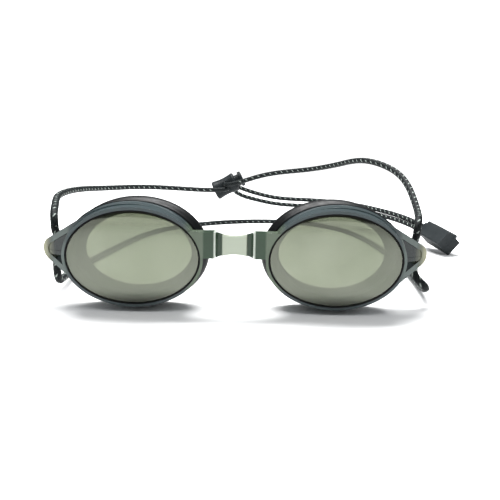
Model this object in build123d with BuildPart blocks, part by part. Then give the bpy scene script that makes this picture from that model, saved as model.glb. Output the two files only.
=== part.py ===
from build123d import *
import os

# Swim goggles with a bungee strap, in millimetres.
# +X runs from the left cup to the right cup seen from the front, +Y runs from the lenses
# towards the face and the strap, and +Z is up. The origin is the centre of the nose
# bridge's back face. The goggles rest on a table at z = TABLE_Z.

# Eyecups and lenses
CUP_X = 40.7                     # centre of each cup from the middle plane
CUP_Z = -5.1                     # height of the cup centres
LENS_X, LENS_Z = 39.5, -5.6      # centre of each lens, nearer the nose than its cup
LENS_A, LENS_B = 25.6, 17.9      # half width and half height of a lens
LENS_FRONT_Y = -3.5
LENS_BACK_Y = -1.2
LENS_DOME_RADIUS = 400.0
SEAL_WIDTH = 0.7
RIM_WIDTH = 1.1
RIM_FRONT_Y = -3.0
SLIP = 0.05                      # gap between pieces that push together
FLANGE_A, FLANGE_B = 27.3, 20.7  # half size of the cup where the gasket sits
FLANGE_FRONT_Y, FLANGE_BACK_Y = 3.5, 5.0
SPIGOT_A, SPIGOT_B = 25.0, 18.4
SPIGOT_BACK_Y = 8.5
SPIGOT_WALL = 1.4

# Gaskets
GASKET_A, GASKET_B = 28.2, 22.4
GASKET_SHIFT = 2.0               # the gasket flares more towards the nose than the temple
GASKET_WIDEST_Y = 9.0
GASKET_BACK_Y = 13.5
FACE_OPENING_A, FACE_OPENING_B = 21.8, 15.2
FACE_OPENING_SHIFT = 1.0
TABLE_Z = CUP_Z - GASKET_B

# Ears that hold the strap
EAR_TIP_X, EAR_TIP_Z = 72.6, -4.4
EAR_TIP_RADIUS = 5.0
EAR_WALL = 2.2
EAR_FRONT_Y, EAR_BACK_Y = 0.5, 5.0
EAR_SWEEP_X = 63.0               # from here out the ear's front sweeps back
EAR_TIP_FRONT_Y = 7.5
GUIDE_BACK_Y = 16.0
GUIDE_INNER_X = 69.0             # the rear guide stays outside the gasket
WEB_BOTTOM_Z = -4.9
WEB_DEPTH, WEB_THICKNESS = 0.5, 1.1
SHELF_HEIGHT = 1.7
SHELF_DEPTH, SHELF_THICKNESS = 0.3, 1.5

# Nose bridge and its sockets
BRIDGE_BACK_Y = 0.0
PAD_FRONT_Y = -3.0
PAD_HALF_X = 4.9
PAD_HALF_Z = 3.5
BRIDGE_SHOULDER_X = 7.2
BRIDGE_SHOULDER_Z = 4.9
TONGUE_FRONT_Y, TONGUE_BACK_Y = -2.0, -0.2
TONGUE_HALF_Z = 4.2
TONGUE_END_X = 11.9
TONGUE_TEETH = 3
TONGUE_PITCH = 1.3
SOCKET_MOUTH_X = 7.3
SOCKET_END_X = 12.3
SOCKET_ROOT_X = 22.0
SOCKET_HALF_Z = 5.2
SOCKET_FRONT_Y, SOCKET_BACK_Y = -3.3, 1.3
SOCKET_GAP = 0.1

# Bungee cord
CORD_R = 1.55
CORD_X = 74.6                    # where the cord runs through each ear
CORD_Y = 13.0
UPPER_PIVOT_Z = 3.4
LOWER_PIVOT_Z = -12.4
PIVOT_GAP = 0.15
BALL_INSET = 0.03                # the round end of a cord is a little smaller than the cord
CORD_STUB = 1.2                  # straight stretch next to each round end
CORD_BOW = 1.9                   # how far the cord bows towards the cup inside the ear
CORD_HOLE_WIDTH = 3.8
CORD_HOLE_LENGTH = 6.1
ON_TABLE_Z = TABLE_Z + CORD_R

# Cord lock
LOCK_X, LOCK_Y, LOCK_Z = -12.2, 196.5, 4.7
LOCK_TILT = 26.6                 # the barrel's axis rises to the right
LOCK_RADIUS, LOCK_WAIST_RADIUS = 7.2, 6.2
LOCK_LEFT, LOCK_RIGHT = -9.5, 7.5
LOCK_BORE_BOTTOM = -8.3
PLUNGER_R = 4.3
PLUNGER_GAP = 0.05
PLUNGER_LEFT, PLUNGER_RIGHT = -3.9, 13.0
BUTTON_R, BUTTON_LEFT = 5.6, 10.7
PLUNGER_TRAVEL = 3.0
LOCK_CORD_OFFSET = 1.7           # each cord from the middle of the lock's passage
PASSAGE_LENGTH, PASSAGE_WIDTH = 7.0, 3.6
SPRING_R, SPRING_WIRE_R = 3.2, 0.35
SPRING_TURNS = 3
LOCK_ENTRY_Y = 187.5
TAIL_PIVOT_Y = 216.0

# Cord end
END_NECK = (118.1, 137.9, -15.8)
END_DIRECTION = (7.9, -23.9, -4.3)
END_LID_NORMAL = (-0.755, 0.0, 0.656)
END_LENGTH = 25.5
END_NECK_LENGTH = 5.0
END_HALF_WIDTH = 5.2
END_HALF_HEIGHT = 6.1
END_NECK_HALF_WIDTH, END_NECK_HALF_HEIGHT = 4.2, 3.2
END_CORD_OFFSET = 1.65
END_CORD_DEPTH = 13.0
END_CHANNEL = (6.9, 3.5)
END_CAVITY_FROM, END_CAVITY_TO = 6.5, 20.0
END_CAVITY_HALF_WIDTH, END_CAVITY_HALF_HEIGHT = 4.0, 2.4
CRIMP_FROM, CRIMP_TO = 8.0, 13.0
CRIMP_INSIDE, CRIMP_OUTSIDE = (6.5, 3.2), (7.4, 4.4)
LID_GAP = 0.05
END_HINGE_OFFSET = 5.4           # hinge axis from the middle of the cord end
END_PIN_R, END_KNUCKLE_R = 0.7, 1.4
KNUCKLE_GAP = 0.15
BASE_KNUCKLES = ((5.0, 10.0), (20.0, 25.5))
LID_KNUCKLE = (10.3, 19.7)
END_PIN_BORE_TO = 24.0           # the bore is blind at the far end


def front_plane(y):
    """A plane at depth y, seen from the front: its x is the row's X and its y is the row's Z."""
    return Plane.XZ.offset(-y)


def cord_points(points, side=1):
    """Points of a cord's path, mirrored to the left where side is -1."""
    return [Vector(side * x, y, z) for x, y, z in points]


def cord_section(path):
    """The cord's round section, square to the start of its path."""
    with BuildSketch(Plane(path @ 0, z_dir=path % 0)) as section:
        Circle(CORD_R)
    return section.sketch


def save(piece, name):
    piece.label = name
    export_step(piece, f"parts/{name}.step")


os.makedirs("parts", exist_ok=True)

# ---------------------------------------------------------------- eyecups

RIM_A, RIM_B = LENS_A + SEAL_WIDTH + RIM_WIDTH, LENS_B + SEAL_WIDTH + RIM_WIDTH
SEAT_A, SEAT_B = LENS_A + SEAL_WIDTH, LENS_B + SEAL_WIDTH
LEDGE_A, LEDGE_B = LENS_A - 0.9, LENS_B - 0.9

def swept_strip(near, far):
    """Plan of a strip between two distances behind the left ear's swept front, in the open sketch."""
    tip_x = -EAR_TIP_X - EAR_TIP_RADIUS
    front = [(-CUP_X, EAR_FRONT_Y), (-EAR_SWEEP_X, EAR_FRONT_Y), (tip_x, EAR_TIP_FRONT_Y)]
    outline = [(x, y + near) for x, y in front] + [(x, y + far) for x, y in reversed(front)]
    return Polygon(*outline, align=None)


def ear_outline(inset):
    """The ear's outline in the open sketch: arms tangent to the cup meet in a round tip."""
    with Locations((-CUP_X, CUP_Z)):
        Ellipse(FLANGE_A - 0.6 - inset, FLANGE_B - 0.6 - inset)
    with Locations((-EAR_TIP_X, EAR_TIP_Z)):
        Circle(EAR_TIP_RADIUS - inset)
    make_hull()


EAR_DEPTH = GUIDE_BACK_Y - EAR_FRONT_Y
with BuildPart() as ear_web:
    with BuildSketch(front_plane(GUIDE_BACK_Y)):
        ear_outline(EAR_WALL / 2)
        with Locations((-CUP_X, CUP_Z)):
            Ellipse(FLANGE_A - 1.0, FLANGE_B - 1.0, mode=Mode.SUBTRACT)
        with Locations((-EAR_TIP_X, WEB_BOTTOM_Z - FLANGE_B)):
            Rectangle(4 * EAR_TIP_RADIUS, 2 * FLANGE_B, mode=Mode.SUBTRACT)
    extrude(amount=EAR_DEPTH)
    with BuildSketch(Plane.XY.offset(-2 * FLANGE_B)):
        swept_strip(WEB_DEPTH, WEB_DEPTH + WEB_THICKNESS)
    extrude(amount=4 * FLANGE_B, mode=Mode.INTERSECT)

with BuildPart() as ear_shelf:
    shelf_inner, shelf_outer = CUP_X + FLANGE_A - 1.0, EAR_TIP_X + EAR_TIP_RADIUS - 1.0
    with BuildSketch(front_plane(GUIDE_BACK_Y)):
        with Locations((-(shelf_inner + shelf_outer) / 2, WEB_BOTTOM_Z - SHELF_HEIGHT / 2)):
            Rectangle(shelf_outer - shelf_inner, SHELF_HEIGHT)
    extrude(amount=EAR_DEPTH)
    with BuildSketch(Plane.XY.offset(-2 * FLANGE_B)):
        swept_strip(SHELF_DEPTH, SHELF_DEPTH + SHELF_THICKNESS)
    extrude(amount=4 * FLANGE_B, mode=Mode.INTERSECT)

with BuildPart() as left_ear:
    # Arms beside the cup, then the guide behind them, kept outside the gasket
    with BuildSketch(front_plane(EAR_BACK_Y)):
        ear_outline(0)
    extrude(amount=EAR_BACK_Y - EAR_FRONT_Y)
    with BuildSketch(front_plane(GUIDE_BACK_Y)):
        ear_outline(0)
        with Locations((-GUIDE_INNER_X / 2, EAR_TIP_Z)):
            Rectangle(GUIDE_INNER_X, 4 * FLANGE_B, mode=Mode.SUBTRACT)
    extrude(amount=GUIDE_BACK_Y - EAR_BACK_Y)
    # Opening through the arms and the guide
    with BuildSketch(front_plane(GUIDE_BACK_Y)):
        ear_outline(EAR_WALL)
        with Locations((-CUP_X, CUP_Z)):
            Ellipse(FLANGE_A - 0.2, FLANGE_B - 0.2, mode=Mode.SUBTRACT)
    extrude(amount=EAR_DEPTH, mode=Mode.SUBTRACT)
    # Swept front
    with BuildSketch(Plane.XY.offset(-2 * FLANGE_B)):
        swept_strip(-2 * EAR_TIP_FRONT_Y, 0)
    extrude(amount=4 * FLANGE_B, mode=Mode.SUBTRACT)
    # Web that closes the upper half of the opening, with a shelf under it
    add(ear_web.part)
    add(ear_shelf.part)

with BuildPart() as left_eyecup:
    # Conical shell from the lens rim out to the gasket flange
    with BuildSketch(front_plane(RIM_FRONT_Y)):
        with Locations((-LENS_X, LENS_Z)):
            Ellipse(RIM_A, RIM_B)
    with BuildSketch(front_plane(FLANGE_BACK_Y)):
        with Locations((-CUP_X, CUP_Z)):
            Ellipse(FLANGE_A, FLANGE_B)
    loft()
    # Spigot that the gasket pushes onto
    with BuildSketch(front_plane(SPIGOT_BACK_Y)):
        with Locations((-CUP_X, CUP_Z)):
            Ellipse(SPIGOT_A, SPIGOT_B)
    extrude(amount=SPIGOT_BACK_Y - FLANGE_BACK_Y)
    # Socket for the nose bridge
    with BuildSketch(front_plane(SOCKET_BACK_Y)):
        with Locations((-(SOCKET_ROOT_X + SOCKET_MOUTH_X) / 2, 0)):
            Rectangle(SOCKET_ROOT_X - SOCKET_MOUTH_X, 2 * SOCKET_HALF_Z)
    extrude(amount=SOCKET_BACK_Y - SOCKET_FRONT_Y)
    add(left_ear.part)
    # Lens seat, open ledge and the hollow behind it
    with BuildSketch(front_plane(LENS_BACK_Y)):
        with Locations((-LENS_X, LENS_Z)):
            Ellipse(SEAT_A, SEAT_B)
    extrude(amount=LENS_BACK_Y - LENS_FRONT_Y + 1, mode=Mode.SUBTRACT)
    with BuildSketch(front_plane(LENS_BACK_Y - 0.5)):
        with Locations((-LENS_X, LENS_Z)):
            Ellipse(LEDGE_A, LEDGE_B)
    with BuildSketch(front_plane(FLANGE_FRONT_Y)):
        with Locations((-CUP_X, CUP_Z)):
            Ellipse(SPIGOT_A, SPIGOT_B)
    loft(mode=Mode.SUBTRACT)
    with BuildSketch(front_plane(SPIGOT_BACK_Y)):
        with Locations((-CUP_X, CUP_Z)):
            Ellipse(SPIGOT_A - SPIGOT_WALL, SPIGOT_B - SPIGOT_WALL)
    extrude(amount=SPIGOT_BACK_Y - FLANGE_FRONT_Y, mode=Mode.SUBTRACT)
    # Pocket for the bridge's tongue
    with BuildSketch(front_plane(TONGUE_BACK_Y + SOCKET_GAP)):
        with Locations((-(SOCKET_END_X + SOCKET_MOUTH_X - 1) / 2, 0)):
            Rectangle(SOCKET_END_X - SOCKET_MOUTH_X + 1, 2 * (TONGUE_HALF_Z + SOCKET_GAP))
    extrude(amount=TONGUE_BACK_Y - TONGUE_FRONT_Y + 2 * SOCKET_GAP, mode=Mode.SUBTRACT)
    # Slots through both arms of the guide for the cord
    with BuildSketch(Plane.XY.offset(EAR_TIP_Z - 3 * EAR_TIP_RADIUS)):
        with Locations((-CORD_X - CORD_HOLE_WIDTH / 2 + CORD_HOLE_LENGTH / 2, CORD_Y)):
            SlotOverall(CORD_HOLE_LENGTH, CORD_HOLE_WIDTH)
    extrude(amount=6 * EAR_TIP_RADIUS, mode=Mode.SUBTRACT)
save(left_eyecup.part, "left_eyecup")

with BuildPart() as right_eyecup:
    mirror(left_eyecup.part, about=Plane.YZ)
save(right_eyecup.part, "right_eyecup")

# ---------------------------------------------------------------- lenses and their seals

with BuildPart() as left_lens:
    with BuildSketch(front_plane(LENS_BACK_Y)):
        with Locations((-LENS_X, LENS_Z)):
            Ellipse(LENS_A, LENS_B)
    extrude(amount=LENS_BACK_Y - LENS_FRONT_Y + 1)
    with Locations((-LENS_X, LENS_FRONT_Y + LENS_DOME_RADIUS, LENS_Z)):
        Sphere(LENS_DOME_RADIUS, mode=Mode.INTERSECT)
save(left_lens.part, "left_lens")

with BuildPart() as right_lens:
    mirror(left_lens.part, about=Plane.YZ)
save(right_lens.part, "right_lens")

with BuildPart() as left_lens_seal:
    with BuildSketch(front_plane(LENS_BACK_Y)):
        with Locations((-LENS_X, LENS_Z)):
            Ellipse(SEAT_A - SLIP, SEAT_B - SLIP)
            Ellipse(LENS_A + SLIP, LENS_B + SLIP, mode=Mode.SUBTRACT)
    extrude(amount=LENS_BACK_Y - RIM_FRONT_Y - 0.1)
save(left_lens_seal.part, "left_lens_seal")

with BuildPart() as right_lens_seal:
    mirror(left_lens_seal.part, about=Plane.YZ)
save(right_lens_seal.part, "right_lens_seal")

# ---------------------------------------------------------------- gaskets

with BuildPart() as left_gasket:
    with BuildSketch(front_plane(FLANGE_BACK_Y)):
        with Locations((-CUP_X, CUP_Z)):
            Ellipse(FLANGE_A + 0.4, FLANGE_B + 0.2)
    with BuildSketch(front_plane(GASKET_WIDEST_Y)):
        with Locations((-CUP_X + GASKET_SHIFT, CUP_Z)):
            Ellipse(GASKET_A, GASKET_B)
    with BuildSketch(front_plane(GASKET_BACK_Y)):
        with Locations((-CUP_X + GASKET_SHIFT, CUP_Z)):
            Ellipse(GASKET_A - 2.4, GASKET_B - 2.2)
    loft()
    # Mouth that grips the spigot
    with BuildSketch(front_plane(SPIGOT_BACK_Y)):
        with Locations((-CUP_X, CUP_Z)):
            Ellipse(SPIGOT_A + SLIP, SPIGOT_B + SLIP)
    extrude(amount=SPIGOT_BACK_Y - FLANGE_BACK_Y, mode=Mode.SUBTRACT)
    # Opening that narrows to the rim on the face
    with BuildSketch(front_plane(SPIGOT_BACK_Y)):
        with Locations((-CUP_X, CUP_Z)):
            Ellipse(SPIGOT_A - SPIGOT_WALL, SPIGOT_B - SPIGOT_WALL)
    with BuildSketch(front_plane(GASKET_BACK_Y)):
        with Locations((-CUP_X + FACE_OPENING_SHIFT, CUP_Z)):
            Ellipse(FACE_OPENING_A, FACE_OPENING_B)
    loft(mode=Mode.SUBTRACT)
save(left_gasket.part, "left_gasket")

with BuildPart() as right_gasket:
    mirror(left_gasket.part, about=Plane.YZ)
save(right_gasket.part, "right_gasket")

# ---------------------------------------------------------------- nose bridge

with BuildPart() as nose_bridge:
    # Waisted plate between the two sockets
    with BuildSketch(front_plane(BRIDGE_BACK_Y)):
        with BuildLine():
            top = ThreePointArc(
                (-BRIDGE_SHOULDER_X, BRIDGE_SHOULDER_Z),
                (0, PAD_HALF_Z),
                (BRIDGE_SHOULDER_X, BRIDGE_SHOULDER_Z),
            )
            bottom = ThreePointArc(
                (-BRIDGE_SHOULDER_X, -BRIDGE_SHOULDER_Z),
                (0, -PAD_HALF_Z),
                (BRIDGE_SHOULDER_X, -BRIDGE_SHOULDER_Z),
            )
            Line(top @ 0, bottom @ 0)
            Line(top @ 1, bottom @ 1)
        make_face()
    extrude(amount=BRIDGE_BACK_Y - PAD_FRONT_Y)
    # Necks, recessed on each side of the raised pad
    neck_width = BRIDGE_SHOULDER_X - PAD_HALF_X - 0.7
    with BuildSketch(front_plane(PAD_FRONT_Y + 1.0)):
        for side in (-1, 1):
            with Locations((side * (PAD_HALF_X + neck_width / 2), 0)):
                Rectangle(neck_width, 4 * PAD_HALF_Z)
    extrude(amount=2, mode=Mode.SUBTRACT)
    pad_edges = nose_bridge.edges().filter_by(Axis.Z).group_by(Axis.Y)[0]
    chamfer(pad_edges, length=0.3)
    # Toothed tongues that slide in the sockets
    with BuildSketch(front_plane(TONGUE_BACK_Y)):
        Rectangle(2 * TONGUE_END_X, 2 * TONGUE_HALF_Z)
        Rectangle(2 * BRIDGE_SHOULDER_X - 1, 4 * TONGUE_HALF_Z, mode=Mode.SUBTRACT)
    extrude(amount=TONGUE_BACK_Y - TONGUE_FRONT_Y)
    with BuildSketch(front_plane(TONGUE_FRONT_Y + 0.4)):
        for tooth in range(TONGUE_TEETH):
            for side in (-1, 1):
                with Locations((side * (BRIDGE_SHOULDER_X + 1.4 + tooth * TONGUE_PITCH), 0)):
                    Rectangle(0.7, 4 * TONGUE_HALF_Z)
    extrude(amount=1, mode=Mode.SUBTRACT)
save(nose_bridge.part, "nose_bridge")

# ---------------------------------------------------------------- cord inside the ears

ear_cord_top = UPPER_PIVOT_Z - CORD_R - PIVOT_GAP
ear_cord_bottom = LOWER_PIVOT_Z + CORD_R + PIVOT_GAP
with BuildPart() as left_ear_cord:
    with BuildLine() as ear_path:
        Spline(
            (-CORD_X, CORD_Y, ear_cord_top),
            (-CORD_X + CORD_BOW, CORD_Y, (ear_cord_top + ear_cord_bottom) / 2),
            (-CORD_X, CORD_Y, ear_cord_bottom),
            tangents=[(0, 0, -1), (0, 0, -1)],
        )
    with BuildSketch(Plane(ear_path.line @ 0, z_dir=ear_path.line % 0)):
        Circle(CORD_R)
    sweep()
save(left_ear_cord.part, "left_ear_cord")

with BuildPart() as right_ear_cord:
    mirror(left_ear_cord.part, about=Plane.YZ)
save(right_ear_cord.part, "right_ear_cord")

# ---------------------------------------------------------------- cord lock

lock_axis = Vector(1, 0, 0).rotate(Axis.Y, -LOCK_TILT)
lock_plane = Plane(origin=(LOCK_X, LOCK_Y, LOCK_Z), x_dir=(0, 1, 0), z_dir=lock_axis)
passage_plane = Plane(origin=(LOCK_X, LOCK_Y, LOCK_Z), x_dir=lock_axis, z_dir=(0, 1, 0))

with BuildPart() as cord_lock_body:
    # Waisted barrel, turned about its axis
    with BuildSketch(passage_plane):
        with BuildLine():
            waist = ThreePointArc(
                (LOCK_LEFT, LOCK_RADIUS),
                ((LOCK_LEFT + LOCK_RIGHT) / 2, LOCK_WAIST_RADIUS),
                (LOCK_RIGHT, LOCK_RADIUS),
            )
            Polyline(waist @ 1, (LOCK_RIGHT, 0), (LOCK_LEFT, 0), waist @ 0)
        make_face()
    revolve(axis=Axis(passage_plane.origin, lock_axis))
    rims = [edge for edge in cord_lock_body.edges() if edge.is_closed]
    fillet(rims, radius=1.2)
    with BuildSketch(lock_plane.offset(LOCK_BORE_BOTTOM)):
        Circle(PLUNGER_R + PLUNGER_GAP)
    extrude(amount=LOCK_RIGHT - LOCK_BORE_BOTTOM + 1, mode=Mode.SUBTRACT)
    with BuildSketch(passage_plane):
        SlotOverall(PASSAGE_LENGTH, PASSAGE_WIDTH, rotation=90)
    extrude(amount=2 * LOCK_RADIUS, both=True, mode=Mode.SUBTRACT)
save(cord_lock_body.part, "cord_lock_body")

with BuildPart() as cord_lock_button:
    with BuildSketch(lock_plane.offset(PLUNGER_LEFT)):
        Circle(PLUNGER_R)
    extrude(amount=PLUNGER_RIGHT - PLUNGER_LEFT)
    # Wide head that a thumb presses
    with BuildSketch(lock_plane.offset(BUTTON_LEFT)):
        Circle(BUTTON_R)
    extrude(amount=PLUNGER_RIGHT - BUTTON_LEFT)
    button_rim = cord_lock_button.edges().filter_by(GeomType.CIRCLE).sort_by(Axis.X)[-1]
    fillet(button_rim, radius=0.8)
    window_left, window_right = -PASSAGE_WIDTH / 2, PASSAGE_WIDTH / 2 + PLUNGER_TRAVEL
    with BuildSketch(passage_plane):
        with Locations(((window_left + window_right) / 2, 0)):
            Rectangle(window_right - window_left, PASSAGE_LENGTH - 0.1)
    extrude(amount=2 * LOCK_RADIUS, both=True, mode=Mode.SUBTRACT)
save(cord_lock_button.part, "cord_lock_button")

spring_length = PLUNGER_LEFT - LOCK_BORE_BOTTOM - 2 * SPRING_WIRE_R - 0.1
with BuildPart() as cord_lock_spring:
    with BuildLine() as spring_path:
        Helix(
            pitch=spring_length / SPRING_TURNS,
            height=spring_length,
            radius=SPRING_R,
            center=lock_plane.from_local_coords((0, 0, LOCK_BORE_BOTTOM + SPRING_WIRE_R + 0.05)),
            direction=lock_axis,
        )
    with BuildSketch(Plane(spring_path.line @ 0, z_dir=spring_path.line % 0)):
        Circle(SPRING_WIRE_R)
    sweep()
save(cord_lock_spring.part, "cord_lock_spring")

# ---------------------------------------------------------------- upper strap

lower_hole = passage_plane.from_local_coords((0, -LOCK_CORD_OFFSET, 0))
upper_hole = passage_plane.from_local_coords((0, LOCK_CORD_OFFSET, 0))
if lower_hole.Z > upper_hole.Z:
    lower_hole, upper_hole = upper_hole, lower_hole

# Every strap path is a spline with unit tangents, so that it does not overshoot its bends
STEADY = [1.0, 1.0]
# Directions in which the cords leave the ears
left_up = Vector(-0.1, 0.15, 1).normalized()
right_up = Vector(0.1, 0.15, 1).normalized()
right_down = Vector(0.15, -0.45, -0.9).normalized()

with BuildPart() as upper_cord_left:
    with BuildLine() as upper_left_path:
        in_lock = Line(
            (lower_hole.X, TAIL_PIVOT_Y - CORD_R - PIVOT_GAP, lower_hole.Z),
            (lower_hole.X, LOCK_ENTRY_Y, lower_hole.Z),
        )
        bend = TangentArc(
            in_lock @ 1,
            (lower_hole.X - 4.5, LOCK_ENTRY_Y - 5.8, lower_hole.Z - 0.2),
            tangent=(0, -1, 0),
        )
        left_run = Spline(
            bend @ 1,
            *cord_points([
                (-43.0, 178.5, 3.6),
                (-65.0, 165.0, 5.6),
                (-83.0, 131.5, 7.8),
                (-88.2, 88.5, 11.0),
                (-84.7, 46.5, 11.9),
                (-78.0, 23.5, 10.0),
            ]),
            Vector(-CORD_X, CORD_Y, UPPER_PIVOT_Z) + left_up * CORD_STUB,
            tangents=[bend % 1, left_up * -1],
            tangent_scalars=STEADY,
        )
        at_ear = Line(left_run @ 1, (-CORD_X, CORD_Y, UPPER_PIVOT_Z))
    sweep(cord_section(in_lock), path=upper_left_path.wire())
    with Locations(at_ear @ 1):
        Sphere(CORD_R - BALL_INSET)
save(upper_cord_left.part, "upper_cord_left")

with BuildPart() as upper_cord_right:
    with BuildLine() as upper_right_path:
        in_lock = Line(
            (upper_hole.X, TAIL_PIVOT_Y - CORD_R - PIVOT_GAP, upper_hole.Z),
            (upper_hole.X, LOCK_ENTRY_Y, upper_hole.Z),
        )
        bend = TangentArc(
            in_lock @ 1,
            (upper_hole.X + 4.5, LOCK_ENTRY_Y - 5.8, upper_hole.Z + 1.0),
            tangent=(0, -1, 0),
        )
        right_run = Spline(
            bend @ 1,
            *cord_points([
                (12.0, 178.5, 13.5),
                (39.1, 162.0, 19.1),
                (60.1, 128.5, 25.5),
                (71.1, 98.0, 28.8),
                (80.5, 76.0, 24.6),
                (82.5, 54.0, 17.1),
                (78.8, 26.5, 9.0),
            ]),
            Vector(CORD_X, CORD_Y, UPPER_PIVOT_Z) + right_up * CORD_STUB,
            tangents=[bend % 1, right_up * -1],
            tangent_scalars=STEADY,
        )
        at_ear = Line(right_run @ 1, (CORD_X, CORD_Y, UPPER_PIVOT_Z))
    sweep(cord_section(in_lock), path=upper_right_path.wire())
    with Locations(at_ear @ 1):
        Sphere(CORD_R - BALL_INSET)
save(upper_cord_right.part, "upper_cord_right")

# ---------------------------------------------------------------- lower strap

with BuildPart() as lower_cord:
    with BuildLine() as lower_path:
        drop = Line((-CORD_X, CORD_Y, LOWER_PIVOT_Z), (-CORD_X, CORD_Y, LOWER_PIVOT_Z - 2.2))
        bight = TangentArc(drop @ 1, (-CORD_X - 0.8, CORD_Y + 5.6, -20.8), tangent=(0, 0, -1))
        lower_run = Spline(
            bight @ 1,
            *cord_points([
                (-79.5, 60.0, ON_TABLE_Z + 1.2),
                (-73.0, 118.0, ON_TABLE_Z + 0.15),
                (-57.0, 176.0, ON_TABLE_Z),
                (-28.5, 207.6, ON_TABLE_Z),
                (9.6, 224.0, ON_TABLE_Z),
                (42.0, 221.0, ON_TABLE_Z),
                (68.0, 199.0, ON_TABLE_Z),
                (84.0, 150.0, ON_TABLE_Z),
                (88.0, 95.0, ON_TABLE_Z + 0.15),
                (85.5, 45.0, ON_TABLE_Z + 1.5),
                (81.2, 17.0, -21.2),
                (78.0, 10.4, -17.6),
            ]),
            Vector(CORD_X, CORD_Y, LOWER_PIVOT_Z) + right_down * CORD_STUB,
            tangents=[bight % 1, right_down * -1],
            tangent_scalars=STEADY,
        )
        rise = Line(lower_run @ 1, (CORD_X, CORD_Y, LOWER_PIVOT_Z))
    sweep(cord_section(drop), path=lower_path.wire())
    with Locations(drop @ 0, rise @ 1):
        Sphere(CORD_R - BALL_INSET)
save(lower_cord.part, "lower_cord")

# ---------------------------------------------------------------- cord end

end_x = Vector(*END_DIRECTION).normalized()
lid_hint = Vector(*END_LID_NORMAL)
end_z = (lid_hint - end_x * lid_hint.dot(end_x)).normalized()
end_plane = Plane(origin=END_NECK, x_dir=end_x, z_dir=end_z)
# Sections of the cord end are drawn across its length: x along its width, y towards the lid
section_plane = Plane(origin=END_NECK, x_dir=end_plane.y_dir, z_dir=end_x)

with BuildPart() as end_shell:
    with BuildSketch(section_plane):
        RectangleRounded(2 * END_NECK_HALF_WIDTH, 2 * END_NECK_HALF_HEIGHT, 1.2)
    extrude(amount=END_NECK_LENGTH + 1)
    with BuildSketch(section_plane.offset(END_NECK_LENGTH)):
        RectangleRounded(2 * END_HALF_WIDTH, 2 * END_HALF_HEIGHT, 1.0)
    extrude(amount=END_LENGTH - END_NECK_LENGTH)
    with BuildSketch(section_plane.offset(-1)):
        SlotOverall(*END_CHANNEL)
    extrude(amount=END_CAVITY_FROM + 2, mode=Mode.SUBTRACT)
    with BuildSketch(section_plane.offset(END_CAVITY_FROM)):
        Rectangle(2 * END_CAVITY_HALF_WIDTH, 2 * END_CAVITY_HALF_HEIGHT)
    extrude(amount=END_CAVITY_TO - END_CAVITY_FROM, mode=Mode.SUBTRACT)

with BuildPart() as cord_end_base:
    add(end_shell.part)
    split(bisect_by=end_plane, keep=Keep.BOTTOM)
    # Room for the lid's knuckle, then the base's own two knuckles
    with BuildSketch(section_plane.offset(LID_KNUCKLE[0] - KNUCKLE_GAP)):
        with Locations((END_HINGE_OFFSET, 0)):
            Circle(END_KNUCKLE_R + KNUCKLE_GAP)
    extrude(amount=LID_KNUCKLE[1] - LID_KNUCKLE[0] + 2 * KNUCKLE_GAP, mode=Mode.SUBTRACT)
    for start, stop in BASE_KNUCKLES:
        with BuildSketch(section_plane.offset(start)):
            with Locations((END_HINGE_OFFSET, 0)):
                Circle(END_KNUCKLE_R)
        extrude(amount=stop - start)
    with BuildSketch(section_plane):
        with Locations((END_HINGE_OFFSET, 0)):
            Circle(END_PIN_R + SLIP)
    extrude(amount=END_PIN_BORE_TO, mode=Mode.SUBTRACT)
save(cord_end_base.part, "cord_end_base")

with BuildPart() as cord_end_lid:
    add(end_shell.part)
    split(bisect_by=end_plane.offset(LID_GAP), keep=Keep.TOP)
    for start, stop in BASE_KNUCKLES:
        with BuildSketch(section_plane.offset(start - KNUCKLE_GAP)):
            with Locations((END_HINGE_OFFSET, 0)):
                Circle(END_KNUCKLE_R + KNUCKLE_GAP)
        extrude(amount=stop - start + 2 * KNUCKLE_GAP, mode=Mode.SUBTRACT)
    with BuildSketch(section_plane.offset(LID_KNUCKLE[0])):
        with Locations((END_HINGE_OFFSET, 0)):
            Circle(END_KNUCKLE_R)
    extrude(amount=LID_KNUCKLE[1] - LID_KNUCKLE[0])
    with BuildSketch(section_plane):
        with Locations((END_HINGE_OFFSET, 0)):
            Circle(END_PIN_R + SLIP)
    extrude(amount=END_PIN_BORE_TO, mode=Mode.SUBTRACT)
save(cord_end_lid.part, "cord_end_lid")

with BuildPart() as cord_end_pin:
    with BuildSketch(section_plane.offset(BASE_KNUCKLES[0][0] + 0.2)):
        with Locations((END_HINGE_OFFSET, 0)):
            Circle(END_PIN_R)
    extrude(amount=END_PIN_BORE_TO - BASE_KNUCKLES[0][0] - 0.3)
save(cord_end_pin.part, "cord_end_pin")

with BuildPart() as cord_end_crimp:
    with BuildSketch(section_plane.offset(CRIMP_FROM)):
        SlotOverall(*CRIMP_OUTSIDE)
        SlotOverall(*CRIMP_INSIDE, mode=Mode.SUBTRACT)
    extrude(amount=CRIMP_TO - CRIMP_FROM)
save(cord_end_crimp.part, "cord_end_crimp")

# ---------------------------------------------------------------- tails from the lock to the cord end

upper_tail_points = [
    (-7.5, 223.5, 3.0),
    (6.0, 231.5, -3.0),
    (28.0, 240.2, -8.6),
    (52.0, 238.7, -9.6),
    (79.0, 219.0, -9.3),
    (97.2, 186.0, -9.5),
    (110.4, 160.5, -11.2),
]
lower_tail_points = [
    (-5.5, 222.8, -2.9),
    (6.0, 229.8, -8.2),
    (28.0, 238.5, -13.4),
    (52.0, 237.0, -14.2),
    (78.2, 217.3, -12.5),
    (95.8, 185.7, -12.6),
    (108.9, 160.3, -14.1),
]


def tail_end(offset, depth):
    """A point on a tail's axis inside the cord end, at a depth from its neck."""
    return end_plane.from_local_coords((depth, offset, 0))


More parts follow.
